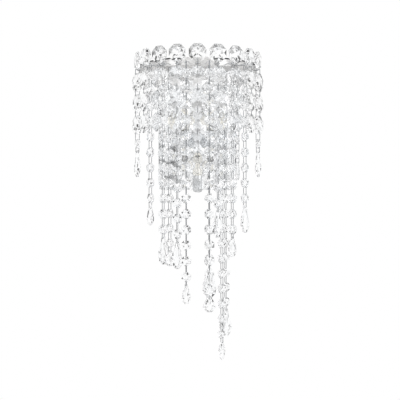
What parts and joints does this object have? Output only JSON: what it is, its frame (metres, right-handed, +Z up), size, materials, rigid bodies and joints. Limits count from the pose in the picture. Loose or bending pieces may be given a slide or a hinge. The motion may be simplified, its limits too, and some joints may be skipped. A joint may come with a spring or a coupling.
{
  "type": "wall sconce",
  "caption": "Half-round wall sconce: a polished steel plate and hoops hung with octagon crystal chains of stepped length around capsule lamps.",
  "frame": {"origin": "middle of the mounting bar's back face, on the wall, between the two junction box slots", "axes": "+Z up, +Y into the wall, +X to the right of a viewer who faces the wall"},
  "size_m": [0.2, 0.1151, 0.4622],
  "materials": {
    "polished_steel": "polished",
    "hoop_steel": "satin",
    "zinc_plate": "satin",
    "chain_wire": "polished",
    "crystal": "cut and polished",
    "holder_shell": "fluted, satin",
    "lamp_glass": "clear",
    "lead_sleeve": "matt",
    "grey_rubber": "matt",
    "block_plastic": "moulded"
  },
  "bodies": {
    "frame": {"back_plate": "polished_steel", "cap_nuts": "polished_steel", "lamp_bracket": "polished_steel", "outer_hoop": "hoop_steel", "inner_hoop": "hoop_steel", "hoop_crossbar": "hoop_steel", "hoop_spokes": "hoop_steel", "mounting_bar": "zinc_plate", "mounting_studs": "zinc_plate", "panel_screws": "zinc_plate", "hanger_staples": "chain_wire", "crown_crystals": "crystal", "crown_pins": "chain_wire", "lamp_holders": "holder_shell", "lamp_capsules": "lamp_glass", "lead_wires": "lead_sleeve", "wire_grommets": "grey_rubber", "terminal_block": "block_plastic"},
    "curtain_strand_1": {"curtain_strand_1_crystals": "crystal", "curtain_strand_1_links": "chain_wire"},
    "curtain_strand_2": {"curtain_strand_2_crystals": "crystal", "curtain_strand_2_links": "chain_wire"},
    "curtain_strand_3": {"curtain_strand_3_crystals": "crystal", "curtain_strand_3_links": "chain_wire"},
    "curtain_strand_4": {"curtain_strand_4_crystals": "crystal", "curtain_strand_4_links": "chain_wire"},
    "curtain_strand_5": {"curtain_strand_5_crystals": "crystal", "curtain_strand_5_links": "chain_wire"},
    "curtain_strand_6": {"curtain_strand_6_crystals": "crystal", "curtain_strand_6_links": "chain_wire"},
    "curtain_strand_7": {"curtain_strand_7_crystals": "crystal", "curtain_strand_7_links": "chain_wire"},
    "curtain_strand_8": {"curtain_strand_8_crystals": "crystal", "curtain_strand_8_links": "chain_wire"},
    "curtain_strand_9": {"curtain_strand_9_crystals": "crystal", "curtain_strand_9_links": "chain_wire"},
    "front_strand_1": {"front_strand_1_crystals": "crystal", "front_strand_1_links": "chain_wire"},
    "front_strand_2": {"front_strand_2_crystals": "crystal", "front_strand_2_links": "chain_wire"},
    "front_strand_3": {"front_strand_3_crystals": "crystal", "front_strand_3_links": "chain_wire"},
    "front_strand_4": {"front_strand_4_crystals": "crystal", "front_strand_4_links": "chain_wire"},
    "front_strand_5": {"front_strand_5_crystals": "crystal", "front_strand_5_links": "chain_wire"},
    "front_strand_6": {"front_strand_6_crystals": "crystal", "front_strand_6_links": "chain_wire"},
    "inner_strand_1": {"inner_strand_1_crystals": "crystal", "inner_strand_1_links": "chain_wire"},
    "inner_strand_2": {"inner_strand_2_crystals": "crystal", "inner_strand_2_links": "chain_wire"},
    "inner_strand_3": {"inner_strand_3_crystals": "crystal", "inner_strand_3_links": "chain_wire"},
    "inner_strand_4": {"inner_strand_4_crystals": "crystal", "inner_strand_4_links": "chain_wire"},
    "inner_strand_5": {"inner_strand_5_crystals": "crystal", "inner_strand_5_links": "chain_wire"},
    "inner_strand_6": {"inner_strand_6_crystals": "crystal", "inner_strand_6_links": "chain_wire"}
  },
  "joints": [
    {"name": "curtain_strand_1_swing", "type": "hinge", "parent": "frame", "child": "curtain_strand_1", "pos_m": [-0.09115, -0.03918, 0.081], "axis": [-0.342, 0.9397, 0], "range_deg": [-2.5, 0]},
    {"name": "curtain_strand_2_swing", "type": "hinge", "parent": "frame", "child": "curtain_strand_2", "pos_m": [-0.07696, -0.06505, 0.081], "axis": [-0.6088, 0.7934, 0], "range_deg": [-2.5, 0]},
    {"name": "curtain_strand_3_swing", "type": "hinge", "parent": "frame", "child": "curtain_strand_3", "pos_m": [-0.05564, -0.08546, 0.081], "axis": [-0.8192, 0.5736, 0], "range_deg": [-2.5, 0]},
    {"name": "curtain_strand_4_swing", "type": "hinge", "parent": "frame", "child": "curtain_strand_4", "pos_m": [-0.02917, -0.09851, 0.081], "axis": [-0.9537, 0.3007, 0], "range_deg": [-2.5, 0]},
    {"name": "curtain_strand_5_swing", "type": "hinge", "parent": "frame", "child": "curtain_strand_5", "pos_m": [0, -0.103, 0.081], "axis": [-1, 0, 0], "range_deg": [-2.5, 0]},
    {"name": "curtain_strand_6_swing", "type": "hinge", "parent": "frame", "child": "curtain_strand_6", "pos_m": [0.02917, -0.09851, 0.081], "axis": [-0.9537, -0.3007, 0], "range_deg": [-2.5, 0]},
    {"name": "curtain_strand_7_swing", "type": "hinge", "parent": "frame", "child": "curtain_strand_7", "pos_m": [0.05564, -0.08546, 0.081], "axis": [-0.8192, -0.5736, 0], "range_deg": [-2.5, 0]},
    {"name": "curtain_strand_8_swing", "type": "hinge", "parent": "frame", "child": "curtain_strand_8", "pos_m": [0.07696, -0.06505, 0.081], "axis": [-0.6088, -0.7934, 0], "range_deg": [-2.5, 0]},
    {"name": "curtain_strand_9_swing", "type": "hinge", "parent": "frame", "child": "curtain_strand_9", "pos_m": [0.09115, -0.03918, 0.081], "axis": [-0.342, -0.9397, 0], "range_deg": [-2.5, 0]},
    {"name": "front_strand_1_swing", "type": "hinge", "parent": "frame", "child": "front_strand_1", "pos_m": [-0.06849, -0.0869, 0.081], "axis": [-0.7632, 0.6461, 0], "range_deg": [0, 30]},
    {"name": "front_strand_2_swing", "type": "hinge", "parent": "frame", "child": "front_strand_2", "pos_m": [-0.04919, -0.09989, 0.081], "axis": [-0.8858, 0.4641, 0], "range_deg": [0, 30]},
    {"name": "front_strand_3_swing", "type": "hinge", "parent": "frame", "child": "front_strand_3", "pos_m": [-0.01613, -0.11077, 0.081], "axis": [-0.9884, 0.1521, 0], "range_deg": [0, 30]},
    {"name": "front_strand_4_swing", "type": "hinge", "parent": "frame", "child": "front_strand_4", "pos_m": [0.01676, -0.11067, 0.081], "axis": [-0.9874, -0.1582, 0], "range_deg": [0, 30]},
    {"name": "front_strand_5_swing", "type": "hinge", "parent": "frame", "child": "front_strand_5", "pos_m": [0.04976, -0.09959, 0.081], "axis": [-0.8829, -0.4695, 0], "range_deg": [0, 30]},
    {"name": "front_strand_6_swing", "type": "hinge", "parent": "frame", "child": "front_strand_6", "pos_m": [0.06849, -0.0869, 0.081], "axis": [-0.7632, -0.6461, 0], "range_deg": [0, 30]},
    {"name": "inner_strand_1_swing", "type": "hinge", "parent": "frame", "child": "inner_strand_1", "pos_m": [-0.05597, -0.04097, 0.081], "axis": [-0.5299, 0.848, 0], "range_deg": [-1, 4]},
    {"name": "inner_strand_2_swing", "type": "hinge", "parent": "frame", "child": "inner_strand_2", "pos_m": [-0.04154, -0.05729, 0.081], "axis": [-0.7771, 0.6293, 0], "range_deg": [-1, 4]},
    {"name": "inner_strand_3_swing", "type": "hinge", "parent": "frame", "child": "inner_strand_3", "pos_m": [0.01708, -0.06975, 0.081], "axis": [-0.9659, -0.2588, 0], "range_deg": [-1, 4]},
    {"name": "inner_strand_4_swing", "type": "hinge", "parent": "frame", "child": "inner_strand_4", "pos_m": [0.03595, -0.06135, 0.081], "axis": [-0.8387, -0.5446, 0], "range_deg": [-1, 4]},
    {"name": "inner_strand_5_swing", "type": "hinge", "parent": "frame", "child": "inner_strand_5", "pos_m": [0.04197, -0.03998, 0.081], "axis": [-0.6293, -0.7771, 0], "range_deg": [-1, 4]},
    {"name": "inner_strand_6_swing", "type": "hinge", "parent": "frame", "child": "inner_strand_6", "pos_m": [0.06029, -0.03284, 0.081], "axis": [-0.4067, -0.9135, 0], "range_deg": [-1, 4]}
  ]
}
